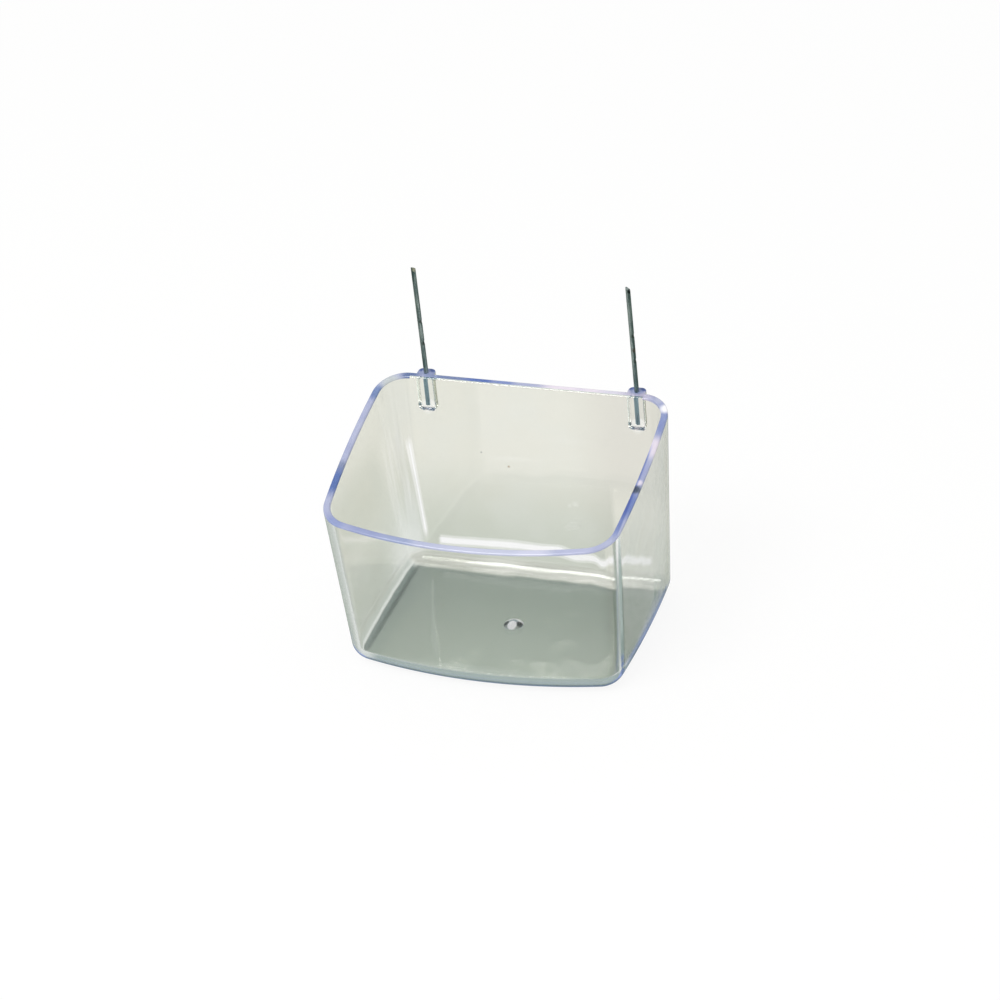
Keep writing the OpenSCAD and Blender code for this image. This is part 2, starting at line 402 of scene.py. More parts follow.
# %% Wires
WIRES = {
    # free length above the rim, and the heading of the low side of the cut end in degrees
    "left": (31.3, 90),
    "right": (30.2, 0),
}
# how far each nick is below the tip, half its length, and the share by which it is pressed in
NICKS = {"left": (16.0, 22.5), "right": (13.9, 21.2)}
NICK_REACH, NICK_PRESS = 0.35, 0.22
CUT_SLANT, CUT_ROUND, RINGS = math.radians(38), 0.07, 60
wire_rim = RIM_HEIGHT + slope_run * wire_y
wires, tips = {}, {}
for side, (free, heading) in WIRES.items():
    x = socket_places[side]
    tip = wire_rim + free
    wire = make_round(f"{side}_hanging_wire", x, wire_y, wire_foot, tip, WIRE_RADIUS, 40)
    edit(wire)
    bpy.ops.mesh.select_all(action="SELECT")
    for step in range(1, RINGS):
        bpy.ops.mesh.bisect(plane_co=(0, 0, (wire_foot + (tip - wire_foot) * step / RINGS) * MM),
                            plane_no=(0, 0, 1))
        bpy.ops.mesh.select_all(action="SELECT")
    turn = math.radians(heading)
    cut_normal = Vector((math.sin(CUT_SLANT) * math.cos(turn), math.sin(CUT_SLANT) * math.sin(turn),
                         math.cos(CUT_SLANT)))
    cut_place = (x * MM, wire_y * MM, (tip - WIRE_RADIUS * math.tan(CUT_SLANT)) * MM)
    bpy.ops.mesh.bisect(plane_co=cut_place, plane_no=cut_normal, clear_outer=True, use_fill=True)
    bpy.ops.mesh.select_mode(type="EDGE")
    bpy.ops.mesh.select_all(action="DESELECT")
    mesh = bmesh.from_edit_mesh(wire.data)
    for edge in mesh.edges:
        edge.select_set(all(abs((vert.co - Vector(cut_place)).dot(cut_normal)) < 1e-6
                            for vert in edge.verts))
    bmesh.update_edit_mesh(wire.data)
    bpy.ops.mesh.bevel(offset=CUT_ROUND * MM, segments=2, affect="EDGES")
    # the nicks: a ring of points is pressed in on one side
    mesh = bmesh.from_edit_mesh(wire.data)
    for depth in NICKS[side]:
        for vert in mesh.verts:
            if abs(vert.co.z / MM - tip + depth) < NICK_REACH and vert.co.x / MM > x:
                vert.co.x -= NICK_PRESS * (vert.co.x - x * MM)
    bmesh.update_edit_mesh(wire.data)
    object_mode()
    only(wire)
    bpy.ops.object.shade_smooth_by_angle(angle=math.radians(30))
    wires[side], tips[side] = wire, tip
    print(wire.name, len(wire.data.polygons), "faces")

for piece in (cup, *wires.values()):
    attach(piece, "root")
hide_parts("cup")
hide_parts("left_wire")
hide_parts("right_wire")

# %% [markdown]
# ## Clear moulded plastic
#
# The cup is clear polystyrene, and it bends light strongly. A Principled shader with full transmission is
# the plain way to make it: its base colour tints what is seen through a wall. That tint is painted shade,
# a cream-green stand-in for the shaded surroundings seen through the walls. The tint, a slight haze in
# patches and the faint waves that a cooling moulding keeps come from noise on Object coordinates, so they
# stay on the piece.
#
# A wall also carries light along inside it, by dozens of reflections, to its rim and its corners. A
# renderer gives up after a few reflections and shows black there. So a ray that has been reflected
# inside the wall more often than that is given the colour of that carried light. Nothing else sees it,
# because a fresh ray has no such depth.

# %% Helpers for the finishes
def new_material(name):
    material = bpy.data.materials.new(name)
    material.use_nodes = True
    return material, material.node_tree.nodes["Principled BSDF"]


def add_node(material, kind, links=(), **settings):
    """Add a node, set its properties and plain inputs, and link (socket, input name or number) pairs."""
    node = material.node_tree.nodes.new(f"ShaderNode{kind}")
    inputs = settings.pop("inputs", {})
    for key, value in settings.items():
        setattr(node, key, value)
    for key, value in inputs.items():
        node.inputs[key].default_value = value
    for socket, key in links:
        material.node_tree.links.new(socket, node.inputs[key])
    return node


def places(material):
    return add_node(material, "TexCoord").outputs["Object"]


def axes(material, where):
    return add_node(material, "SeparateXYZ", [(where, "Vector")]).outputs[:3]


def noise(material, where, scale, detail=3.0, rough=0.5, stretch=(1, 1, 1)):
    """Noise with features of about 1 / scale metres, drawn out along an axis by a small stretch."""
    mapped = add_node(material, "Mapping", [(where, "Vector")], inputs={"Scale": stretch})
    return add_node(material, "TexNoise", [(mapped.outputs["Vector"], "Vector")],
                    inputs={"Scale": scale, "Detail": detail, "Roughness": rough}).outputs["Fac"]


# %% [markdown]
# ## Masks and layers of colour
#
# A mask is a number between nought and one at each point of a piece. Steps and windows on its
# coordinates, distances to a place, and noise make the masks, and a colour is laid on through each.

# %% Helpers for masks and colours
def between(material, value, low, high, to_low=0.0, to_high=1.0):
    """Map a value's range low to high smoothly onto another range."""
    return add_node(material, "MapRange", [(value, "Value")], interpolation_type="SMOOTHSTEP",
                    inputs={"From Min": low, "From Max": high, "To Min": to_low,
                            "To Max": to_high}).outputs["Result"]


def maths(material, operation, a, b):
    node = add_node(material, "Math", operation=operation)
    for number, value in enumerate((a, b)):
        if isinstance(value, bpy.types.NodeSocket):
            material.node_tree.links.new(value, node.inputs[number])
        else:
            node.inputs[number].default_value = value
    return node.outputs["Value"]


def all_of(material, first, *more):
    for mask in more:
        first = maths(material, "MULTIPLY", first, mask)
    return first


def any_of(material, first, *more):
    for mask in more:
        first = maths(material, "MAXIMUM", first, mask)
    return first


def past(material, value, low, high):
    """Nothing below low and one above high, in millimetres."""
    return between(material, value, low * MM, high * MM)


def short_of(material, value, low, high):
    """One below low and nothing above high, in millimetres."""
    return between(material, value, low * MM, high * MM, 1.0, 0.0)


def window(material, value, low, high, soft):
    """One between low and high, and smoothly nothing beyond them, in millimetres."""
    return all_of(material, past(material, value, low - soft, low + soft),
                  short_of(material, value, high - soft, high + soft))


def near(material, where, spot, core, reach, full=1.0):
    """Full within the core about a place in millimetres, and smoothly nothing beyond the reach. A place
    of two numbers stands for the upright line through it."""
    if len(spot) == 2:
        flat = add_node(material, "Mapping", [(where, "Vector")], inputs={"Scale": (1, 1, 0)})
        where, spot = flat.outputs["Vector"], (*spot, 0)
    away = add_node(material, "VectorMath", [(where, 0)], operation="DISTANCE",
                    inputs={1: tuple(value * MM for value in spot)}).outputs["Value"]
    return between(material, away, core * MM, reach * MM, full, 0.0)


def blend_colours(material, factor, a, b, kind="MIX"):
    """Mix two colours, each a socket or three numbers."""
    node = add_node(material, "Mix", [(factor, 0)], data_type="RGBA", blend_type=kind)
    for number, value in ((6, a), (7, b)):
        if isinstance(value, bpy.types.NodeSocket):
            material.node_tree.links.new(value, node.inputs[number])
        else:
            node.inputs[number].default_value = (*value, 1)
    return node.outputs[2]


def lay_on(material, colour, layers):
    """Lay colours over a first one. A layer is a mask, a colour and, unless it is MIX, a way to blend."""
    for mask, *rest in layers:
        colour = blend_colours(material, mask, colour, *rest)
    return colour


def feed(material, shader, **sources):
    """Link sockets to the shader's inputs, named in words joined by underscores."""
    for key, socket in sources.items():
        material.node_tree.links.new(socket, shader.inputs[key.replace("_", " ")])


# %% [markdown]
# ## The tint of the walls
#
# What a ray keeps when it crosses one wall, with painted shade in it: the tint darkens towards the foot,
# where shaded surroundings are seen through the back wall, and the walls next to the camera are the
# clearest. More painted shade darkens the left, parts of the right and both front corners, and painted
# light lifts the low back behind the right corner. The outside of the foot is told from its inside by an
# attribute that is worked out from the direction of each point's normal. The masks come first, and the
# colours are then laid over one another in their order.

# %% Tint of the walls
POLYSTYRENE_IOR, WHITE = 1.59, (1, 1, 1)
TINT_HIGH, TINT_LOW_SHADE = (0.80, 0.80, 0.72), (0.61, 0.645, 0.565)
TINT_NEAR, TINT_CLOUD = (0.99, 0.99, 0.98), (0.77, 0.80, 0.76)
# painted shade at the left, the right and both front corners, and painted light low behind the right
# corner
SHADE_LEFT, SHADE_LEFT_HIGH = (0.93, 0.935, 0.93), (0.88, 0.89, 0.87)
SHADE_RIGHT, PAINTED_LIGHT_RIGHT_LOW = (0.92, 0.905, 0.91), (1.22, 1.20, 1.21)
CORNER_RIGHT_SHADE, CORNER_LEFT_SHADE = (0.26, 0.32, 0.30), (0.60, 0.64, 0.61)

outside = cup.data.attributes.new("outside_of_foot", "FLOAT", "POINT")
for vert in cup.data.vertices:
    if vert.normal.z < -draft_run / 2:
        outside.data[vert.index].value = max(0.0, 1 - vert.co.z / (BASE_ROUND * MM))
print("points outside the foot:", sum(item.value > 0 for item in outside.data))

plastic, shader = new_material("clear_polystyrene")
shader.inputs["IOR"].default_value = POLYSTYRENE_IOR
shader.inputs["Transmission Weight"].default_value = 1
where = places(plastic)
across, depthwise, height = axes(plastic, where)
to_left = short_of(plastic, across, -34, -31)
to_right = past(plastic, across, 31, 34)
to_back = past(plastic, depthwise, 21, 23)
cloud = noise(plastic, where, 60, 4, 0.6)
cloudy = all_of(plastic, between(plastic, cloud, 0.4, 0.75, 0.0, 0.25), short_of(plastic, across, 31, 35))
left_high = all_of(plastic, to_left, window(plastic, height, 27, 43, 6),
                   short_of(plastic, depthwise, 12, 20))
left_back = all_of(plastic, to_left, past(plastic, depthwise, 5, 20), short_of(plastic, height, 6, 26))
behind_corner = all_of(plastic, past(plastic, across, 20.5, 22.5), to_back,
                       short_of(plastic, height, 20, 32))
right_wall = all_of(plastic, past(plastic, across, 35.2, 36.0), short_of(plastic, depthwise, 18, 25))
near_walls = any_of(plastic, short_of(plastic, depthwise, -22, -18), right_wall)
# painted shade: darker low down, with the walls next to the camera left almost clear
painted_light_and_dust = blend_colours(plastic, past(plastic, height, 6, 38), TINT_LOW_SHADE, TINT_HIGH)
painted_light_and_dust = lay_on(plastic, painted_light_and_dust, (
    (cloudy, TINT_CLOUD),
    (to_left, SHADE_LEFT, "MULTIPLY"),
    (left_high, SHADE_LEFT_HIGH, "MULTIPLY"),
    (left_back, TINT_CLOUD),
    (past(plastic, across, 8, 26), SHADE_RIGHT, "MULTIPLY"),
    (behind_corner, PAINTED_LIGHT_RIGHT_LOW, "MULTIPLY"),
    (near_walls, TINT_NEAR),
    (near(plastic, where, (37.3, -18.3), 1.0, 1.8), CORNER_RIGHT_SHADE, "MULTIPLY"),
    (near(plastic, where, (-36.0, -22.3), 2.2, 4.0), CORNER_LEFT_SHADE, "MULTIPLY"),
))

# %% [markdown]
# ## Painted highlights and pale lines
#
# Painted highlights stand for the bright gleams of the walls: a band along the foot of the back wall that
# dips behind the front corner, and a leaning streak up the left back corner. Fainter pale upright lines
# beside it, pale level lines and two pale marks on the back wall go with them. They are drawn into the
# tint as windows on the piece's own coordinates.

# %% Painted highlights and pale lines
BAND_DROPS = (
    # where a drop starts and ends across the cup, and how far the painted highlight band drops there, in
    # millimetres
    (-8.0, 0.0, 0.5), (5.0, 10.5, 1.3), (15.5, 19.5, 1.1), (20.5, 24.5, -1.1),
)
BAND_SLOPE, BAND_RIPPLE = 0.0385, 0.8
STREAK_X, STREAK_LEAN = -30.8, 0.082

ripple = noise(plastic, where, 110, 2, 0.5)
band_height = height
for start, end, drop in BAND_DROPS:
    band_height = maths(plastic, "ADD", band_height,
                        between(plastic, across, start * MM, end * MM, 0.0, drop * MM))
band_height = maths(plastic, "ADD", band_height,
                    maths(plastic, "SUBTRACT", maths(plastic, "MULTIPLY", ripple, BAND_RIPPLE * MM),
                          maths(plastic, "MULTIPLY", across, BAND_SLOPE)))
# painted highlights: a band along the foot of the back wall and a leaning streak up the left back corner
painted_foot_highlight = all_of(plastic, window(plastic, band_height, 7.2, 9.6, 0.3),
                   window(plastic, across, -27.8, 30.2, 0.4), to_back)
lean = maths(plastic, "ADD", across, maths(plastic, "MULTIPLY", height, STREAK_LEAN))
off_streak = maths(plastic, "ABSOLUTE", maths(plastic, "SUBTRACT", lean, STREAK_X * MM), 0)
painted_corner_highlight = all_of(plastic, window(plastic, height, 8.5, 36.5, 2), to_back,
                     short_of(plastic, off_streak, 0.3, 0.7))
streak_noise = noise(plastic, where, 420, 2, 0.5, (1, 1, 0.02))
pale_upright_lines = all_of(plastic, between(plastic, streak_noise, 0.52, 0.66, 0.0, 0.4), to_left,
                    window(plastic, height, 16, 40, 5), window(plastic, depthwise, 18, 28, 2))
rings = noise(plastic, where, 170, 2, 0.5, (0.06, 0.06, 1))
ring_lines = all_of(plastic, between(plastic, rings, 0.56, 0.68, 0.0, 0.3), to_back,
                    past(plastic, across, -13, -6), window(plastic, height, 26, 41, 3))
pale_marks = any_of(plastic, near(plastic, where, (11.4, 26.4, 22.6), 0.3, 1.3, 0.35),
                    near(plastic, where, (9.8, 26.4, 22.0), 0.2, 0.8, 0.3))
highlights_and_pale_lines = any_of(plastic, painted_foot_highlight, painted_corner_highlight, pale_upright_lines, ring_lines, pale_marks)
painted_light_and_dust = blend_colours(plastic, highlights_and_pale_lines, painted_light_and_dust, WHITE)
print("bends of the band:", len(BAND_DROPS))

# %% [markdown]
# ## The foot
#
# The foot is painted dark outside at the left, the front and the right, as the shade under the cup, and
# pale inside along the back, where its lip has dim lines of painted shade and pale lines of painted
# highlight. Inside at the left, a grey line, a white one and a dark one run side by side along it: the
# grey and the dark are painted shade, and the white is a painted highlight.

# %% Foot
FOOT_SHADE_LEFT, FOOT_SHADE_RIGHT, FOOT_SHADE_FRONT = (0.50, 0.56, 0.52), (0.08, 0.12, 0.26), (0.14, 0.20, 0.19)
SHADE_LINE_GREY, SHADE_LINE_DARK = (0.80, 0.81, 0.80), (0.06, 0.09, 0.08)
LIP_SHADE_DIM, LIP_HIGHLIGHT_PALE = (0.50, 0.52, 0.46), (0.70, 0.71, 0.65)

outward = add_node(plastic, "Attribute", attribute_name="outside_of_foot").outputs["Fac"]
right_foot = all_of(plastic, to_right, past(plastic, depthwise, -18, -10))
# painted shade: the outside of the foot is darkened, as the shade under the cup
foot_shade = lay_on(plastic, FOOT_SHADE_LEFT, (
    (past(plastic, across, -32, -28), FOOT_SHADE_FRONT),
    (right_foot, FOOT_SHADE_RIGHT),
))
foot_mask = all_of(plastic, any_of(plastic, between(plastic, outward, 0.30, 0.55),
                                   all_of(plastic, between(plastic, outward, 0.05, 0.2), right_foot)),
                   short_of(plastic, depthwise, 20, 24))
left_inside = all_of(plastic, between(plastic, outward, 0.0, 0.02, 1.0, 0.0),
                     short_of(plastic, across, -32.5, -31.5), short_of(plastic, depthwise, 19, 22))
# the lip along the back gets dim lines of painted shade and pale lines of painted highlight
lip = all_of(plastic, to_back, short_of(plastic, height, 3.0, 4.2))
lip_lines = noise(plastic, where, 900, 2, 0.5, (0.05, 0.05, 1))
lip_shade_and_highlight = blend_colours(plastic, between(plastic, lip_lines, 0.42, 0.6), LIP_SHADE_DIM, LIP_HIGHLIGHT_PALE)
painted_light_and_dust = lay_on(plastic, painted_light_and_dust, (
    (foot_mask, foot_shade),
    # painted shade in a grey and a dark line, with a painted white highlight between them
    (all_of(plastic, left_inside, window(plastic, height, 3.0, 5.6, 0.4)), SHADE_LINE_GREY, "MULTIPLY"),
    (all_of(plastic, left_inside, window(plastic, height, 2.5, 2.9, 0.2)), WHITE),
    (all_of(plastic, left_inside, short_of(plastic, height, 2.3, 2.6)), SHADE_LINE_DARK),
    (lip, lip_shade_and_highlight),
))
print("nodes in the plastic so far:", len(plastic.node_tree.nodes))

# %% [markdown]
# ## Base, specks and sockets
#
# The base is tinted dark as painted shade, for the shadow under the cup: it darkens the light on its way
# down and again on its way up. That painted shade has a darker border, and darkens towards the right. A
# few specks of seed dust lie on the walls, and one dark blue spot at the right of the foot is painted
# shade.
# The round foot of each socket is clear, and a dark spot of painted shade lies on the wall beside it.

# %% Base, specks and sockets
BASE_SHADE_BACK, BASE_SHADE_FRONT = (0.088, 0.128, 0.104), (0.190, 0.255, 0.206)
BASE_BORDER_SHADE, BASE_LEFT_SHADE, BASE_RIGHT_SHADE = (0.72, 0.76, 0.78), (0.88, 0.88, 0.89), (0.30, 0.40, 0.32)
BASE_LEAN, SHADE_SPOT_DARK = 0.30, (0.02, 0.05, 0.07)
DUST_SPECKS_AND_SHADE_SPOT = (
    # place and radius in millimetres, and colour
    ((-6.2, 26.9, 31.9), 0.25, (0.32, 0.20, 0.08)), ((-13.5, 27.0, 35.4), 0.22, (0.35, 0.36, 0.33)),
    ((-35.9, 0.1, 10.9), 0.22, (0.15, 0.14, 0.10)), ((39.2, -2.0, 22.0), 0.25, (0.30, 0.30, 0.28)),
    # in the next row, the dark blue spot at 36.4 across is painted shade; the other specks are seed dust
    ((36.4, 17.3, 4.6), 0.80, (0.04, 0.07, 0.14)), ((22.0, -12.0, 1.8), 0.20, (0.30, 0.28, 0.2)),
    ((-20.0, 5.0, 1.8), 0.30, (0.35, 0.33, 0.22)),
)

# painted shade: the base is darkened as the shadow under the cup, with a darker border and towards the
# right
base = blend_colours(plastic, past(plastic, depthwise, -27, 20), BASE_SHADE_FRONT, BASE_SHADE_BACK)
border = any_of(plastic, short_of(plastic, across, -31.0, -26.5), past(plastic, depthwise, 19.5, 21.0))
rightward = maths(plastic, "ADD", across, maths(plastic, "MULTIPLY", depthwise, BASE_LEAN))
base = lay_on(plastic, base, (
    (border, BASE_BORDER_SHADE, "MULTIPLY"),
    (short_of(plastic, across, -26, -8), BASE_LEFT_SHADE, "MULTIPLY"),
    (past(plastic, rightward, 25, 34), BASE_RIGHT_SHADE, "MULTIPLY"),
))
low = all_of(plastic, short_of(plastic, height, 0.05, 0.5), short_of(plastic, depthwise, 21.5, 23.0))
painted_light_and_dust = blend_colours(plastic, low, painted_light_and_dust, base)
for spot, radius, colour in DUST_SPECKS_AND_SHADE_SPOT:
    painted_light_and_dust = blend_colours(plastic, near(plastic, where, spot, radius, 1.6 * radius, 0.8), painted_light_and_dust, colour)
for x in socket_places.values():
    painted_light_and_dust = lay_on(plastic, painted_light_and_dust, (
        (near(plastic, where, (x, socket_back - 0.6, socket_foot + 0.3), 1.8, 2.8), WHITE),
        # a dark spot of painted shade on the wall beside each socket
        (near(plastic, where, (x - 1.6, 27.8, 48.0), 0.35, 0.7, 0.97), SHADE_SPOT_DARK),
    ))
print("specks:", len(DUST_SPECKS_AND_SHADE_SPOT), "- sockets:", len(socket_places))

# %% [markdown]
# ## Carried light, haze and waves
#
# The walls carry a pale grey-green light, which is darker low down and blue at the foot.

# %% Carried light, haze and waves
CARRIED_HIGH, CARRIED_LOW, CARRIED_FOOT = (0.38, 0.41, 0.40), (0.27, 0.31, 0.30), (0.16, 0.20, 0.38)
GLOSSY_LIMIT, RAY_LIMIT = 3.5, 10.5
WAVE_STRENGTH, WAVE_DEPTH = 0.12, 2.0

path = add_node(plastic, "LightPath")
carried = any_of(plastic, maths(plastic, "GREATER_THAN", path.outputs["Glossy Depth"], GLOSSY_LIMIT),
                 maths(plastic, "GREATER_THAN", path.outputs["Ray Depth"], RAY_LIMIT))
glow = blend_colours(plastic, past(plastic, height, 8, 14), CARRIED_LOW, CARRIED_HIGH)
glow = blend_colours(plastic, short_of(plastic, height, 2.5, 5.5), glow, CARRIED_FOOT)
rub = all_of(plastic, noise(plastic, where, 400, 5, 0.65),
             between(plastic, across, 33 * MM, 36 * MM, 1.0, 0.7))
wave = noise(plastic, where, 45, 2, 0.4)
bump = add_node(plastic, "Bump", [(wave, "Height")],
                inputs={"Strength": WAVE_STRENGTH, "Distance": WAVE_DEPTH * MM})
feed(plastic, shader, Base_Color=painted_light_and_dust, Roughness=between(plastic, rub, 0.5, 0.8, 0.015, 0.05),
     Normal=bump.outputs["Normal"], Emission_Color=glow, Emission_Strength=carried)
plastic.cycles.emission_sampling = "NONE"
print(plastic.name, "is done, with", len(plastic.node_tree.nodes), "nodes")

# %% [markdown]
# ## The glowing edge
#
# The light that the walls carry leaves them at the rim, so its face is a ribbon of lavender blue. It
# is paler and deeper by turns, as each stretch faces another part of the room through the wall: deep
# blue at the middle of both sides and left on the back, nearly white with pink at the right. That glow is
# painted light, laid into the base colour of a barely clear, glossy finish. Its tones are set along the
# rim by soft patches, among them a painted white glint and a black spot of painted shade, and each socket
# adds a patch of its own with a deep blue spot on either side.

# %% Tones of the rim
# the rim's tones are painted light, with a painted white glint and a black spot of painted shade
EDGE_PALE, EDGE_DEEP, EDGE_MID = (0.34, 0.37, 0.57), (0.06, 0.12, 0.37), (0.17, 0.23, 0.50)
EDGE_LIGHT, EDGE_PINK, EDGE_GLINT_WHITE = (0.52, 0.54, 0.70), (0.78, 0.70, 0.80), (1.0, 0.98, 1.0)
EDGE_GREY, EDGE_DIM, EDGE_SHADE_BLACK = (0.20, 0.24, 0.39), (0.09, 0.14, 0.32), (0.04, 0.06, 0.10)
EDGE_INNER_SHADE = (0.28, 0.40, 0.70)
SOCKET_TONE, SOCKET_SIDE_TONE = (0.27, 0.31, 0.52), (0.05, 0.09, 0.28)
EDGE_PATCHES = (
    # place on the rim and reach in millimetres, and painted colour of the glow, in the order in which
    # they are laid on
    ((-25.0, -27.3), 8.0, (0.26, 0.30, 0.52)), ((-16.0, -28.2), 6.0, (0.28, 0.33, 0.53)),
    ((-33.8, -24.6), 4.0, (0.24, 0.29, 0.54)), ((8.0, -28.8), 18.0, EDGE_LIGHT),
    ((30.0, -25.5), 7.0, (0.44, 0.46, 0.66)), ((19.5, -27.6), 6.0, (0.58, 0.59, 0.75)),
    ((-39.0, -5.3), 2.8, EDGE_GREY), ((-38.6, -10.5), 6.5, EDGE_DEEP),
    ((-38.3, 21.8), 3.8, (0.14, 0.21, 0.43)), ((-31.5, 29.2), 3.5, EDGE_DIM),
    ((-36.0, 26.0), 3.6, (0.52, 0.56, 0.58)), ((-20.5, 29.4), 8.0, (0.14, 0.19, 0.38)),
    ((-12.5, 29.1), 6.0, (0.06, 0.12, 0.40)), ((-6.0, 28.9), 4.0, EDGE_MID),
    ((10.0, 28.8), 8.0, EDGE_PINK), ((20.0, 28.9), 9.0, EDGE_PINK),
    ((24.0, 28.7), 6.0, (0.66, 0.63, 0.74)), ((30.0, 29.5), 6.0, (0.50, 0.47, 0.62)),
    ((38.8, 20.5), 6.0, (0.22, 0.27, 0.52)), ((36.3, 28.4), 2.0, (0.46, 0.48, 0.64)),
    # the white patch at the back right is a painted glint, and the black one on the right side below is
    # painted shade
    ((38.6, 25.4), 2.2, EDGE_GLINT_WHITE), ((39.0, 11.5), 5.0, EDGE_PINK),
    ((38.5, -8.5), 6.0, (0.13, 0.19, 0.46)), ((38.7, -3.2), 2.0, EDGE_SHADE_BLACK),
    ((38.9, -0.8), 1.3, EDGE_PINK),
)

edge_glow, shader = new_material("edge_glow")
shader.inputs["IOR"].default_value = POLYSTYRENE_IOR
shader.inputs["Transmission Weight"].default_value = 0.2
where = places(edge_glow)
soft = noise(edge_glow, where, 90, 2, 0.5)
tone = blend_colours(edge_glow, between(edge_glow, soft, 0.35, 0.7, 0.0, 0.5), EDGE_PALE, EDGE_LIGHT)
tone = lay_on(edge_glow, tone, [(near(edge_glow, where, spot, 0.3 * reach, reach), colour)
                                for spot, reach, colour in EDGE_PATCHES])
for x in socket_places.values():
    tone = lay_on(edge_glow, tone, (
        (near(edge_glow, where, (x, socket_back - 0.6), 1.5, 2.9), SOCKET_TONE),
        (near(edge_glow, where, (x - 1.7, socket_back - 0.4), 0.6, 1.3), SOCKET_SIDE_TONE),
        (near(edge_glow, where, (x + 1.7, socket_back - 0.4), 0.6, 1.3), SOCKET_SIDE_TONE),
    ))
print("patches on the rim:", len(EDGE_PATCHES) + 3 * len(socket_places))

# %% [markdown]
# ## The inner line and the grain of the rim
#
# On the real rim, a thin and deeper line runs along the right side next to the well. It is painted shade
# in the rim's painted glow: a narrow strip of the rim's face, multiplied into the tones. A fine grain
# then breaks up the gloss a little.

# %% Finish of the rim
across, depthwise, _ = axes(edge_glow, where)
from_edge = maths(edge_glow, "SUBTRACT", across, maths(edge_glow, "MULTIPLY", depthwise, 0.012))
# painted shade: a deeper line in the rim's painted glow next to the well
well_side_shade = all_of(edge_glow, between(edge_glow, from_edge, 38.5 * MM, 39.0 * MM, 0.85, 0.0),
                   past(edge_glow, across, 34, 36), window(edge_glow, depthwise, -19, 11, 3))
tone = blend_colours(edge_glow, well_side_shade, tone, EDGE_INNER_SHADE, "MULTIPLY")
grain = noise(edge_glow, where, 900, 3, 0.6)
bump = add_node(edge_glow, "Bump", [(grain, "Height")], inputs={"Strength": 0.04, "Distance": 0.1 * MM})
feed(edge_glow, shader, Base_Color=tone, Normal=bump.outputs["Normal"],
     Roughness=between(edge_glow, grain, 0.3, 0.7, 0.12, 0.25))
print(edge_glow.name, "is done, with", len(edge_glow.node_tree.nodes), "nodes")

# %% [markdown]
# ## Painted light on the gate
#
# The faces of the stub and the dome above it get a finish of their own, rough and barely clear, whose
# colours are painted light: a white middle of painted highlight, painted shade at the front and dark at
# the left and the right, where the dome turns the light away, and a pale arc of painted highlight at the
# back.

# %% Finish of the gate
# painted shade at the front, in a grey middle and in two dark crescents; painted highlight at the back
GATE_FRONT_SHADE, GATE_BACK_HIGHLIGHT, GATE_SHADE_DARK = (0.29, 0.33, 0.29), (0.95, 0.96, 0.95), (0.0, 0.006, 0.006)
GATE_GLEAM_DIM, GATE_GLEAM_WHITE = (0.86, 0.86, 0.88), (0.98, 0.98, 0.98)
GATE_GLEAM_Y, GATE_GLEAM_SQUEEZE = -1.2, 0.85
GATE_PATCHES = (
    # place from the middle of the gate, core and reach in millimetres, and colour
    ((0, -0.3), 1.2, 1.7, (0.33, 0.39, 0.42)), ((-1.9, -0.5), 0.6, 1.1, GATE_SHADE_DARK),
    ((1.9, -0.3), 0.7, 1.2, GATE_SHADE_DARK),
)

gate_light_paint, shader = new_material("gate_painted_light")
shader.inputs["IOR"].default_value = POLYSTYRENE_IOR
shader.inputs["Specular IOR Level"].default_value = 0.15
shader.inputs["Transmission Weight"].default_value = 0.2
where = places(gate_light_paint)
grain = noise(gate_light_paint, where, 3000, 4, 0.6)
bump = add_node(gate_light_paint, "Bump", [(grain, "Height")], inputs={"Strength": 0.6, "Distance": 0.1 * MM})
_, gate_depth, _ = axes(gate_light_paint, where)
tone = blend_colours(gate_light_paint, past(gate_light_paint, gate_depth, 0.2, 1.0), GATE_FRONT_SHADE, GATE_BACK_HIGHLIGHT)
for (x, y), core, reach, colour in GATE_PATCHES:
    tone = blend_colours(gate_light_paint, near(gate_light_paint, where, (GATE_X + x, GATE_Y + y), core, reach),
                         tone, colour)
squeezed = add_node(gate_light_paint, "Mapping", [(where, "Vector")],
                    inputs={"Scale": (1, GATE_GLEAM_SQUEEZE, 0)}).outputs["Vector"]
gate_gleam_spot = (GATE_X, GATE_GLEAM_SQUEEZE * (GATE_Y + GATE_GLEAM_Y), 0)
# the white middle is a painted highlight
gate_gleam = blend_colours(gate_light_paint, between(gate_light_paint, grain, 0.35, 0.65), GATE_GLEAM_DIM, GATE_GLEAM_WHITE)
tone = blend_colours(gate_light_paint, near(gate_light_paint, squeezed, gate_gleam_spot, 1.0, 1.4), tone, gate_gleam)
feed(gate_light_paint, shader, Normal=bump.outputs["Normal"], Base_Color=tone,
     Roughness=between(gate_light_paint, grain, 0.3, 0.7, 0.25, 0.5))
print(gate_light_paint.name, "is done, with", len(gate_light_paint.node_tree.nodes), "nodes")

# %% [markdown]
# ## Who wears what
#
# The cup is one body with three finishes. Its faces are picked by their place, and each group is
# assigned the slot of its finish: first the gate, then the rim. All the others keep the clear plastic.

# %% Who wears what
DOME_REACH, STUB_REACH = 2.65, 0.8
SOCKET_INNER_X, RIM_DEPTH, RIM_INNER = 31, 0.55, 0.45


def at_gate(p):
    """The dome, the roof of the dimple and the stub, but not the flat floor or base."""
    reach = DOME_REACH if p.z > WALL else STUB_REACH
    return (0.2 < p.z < WALL + 2 * DOME_RISE and not 1.32 <= p.z <= 1.88
            and math.dist(p[:2], (GATE_X, GATE_Y)) < reach)


def at_rim(p):
    """The rim with its roundings, but without the inner one along the back."""
    inner_back = 26 < p.y < rim_back_y - WALL + RIM_INNER and abs(p.x) < SOCKET_INNER_X
    return above_rim(p) > -RIM_DEPTH and not inner_back


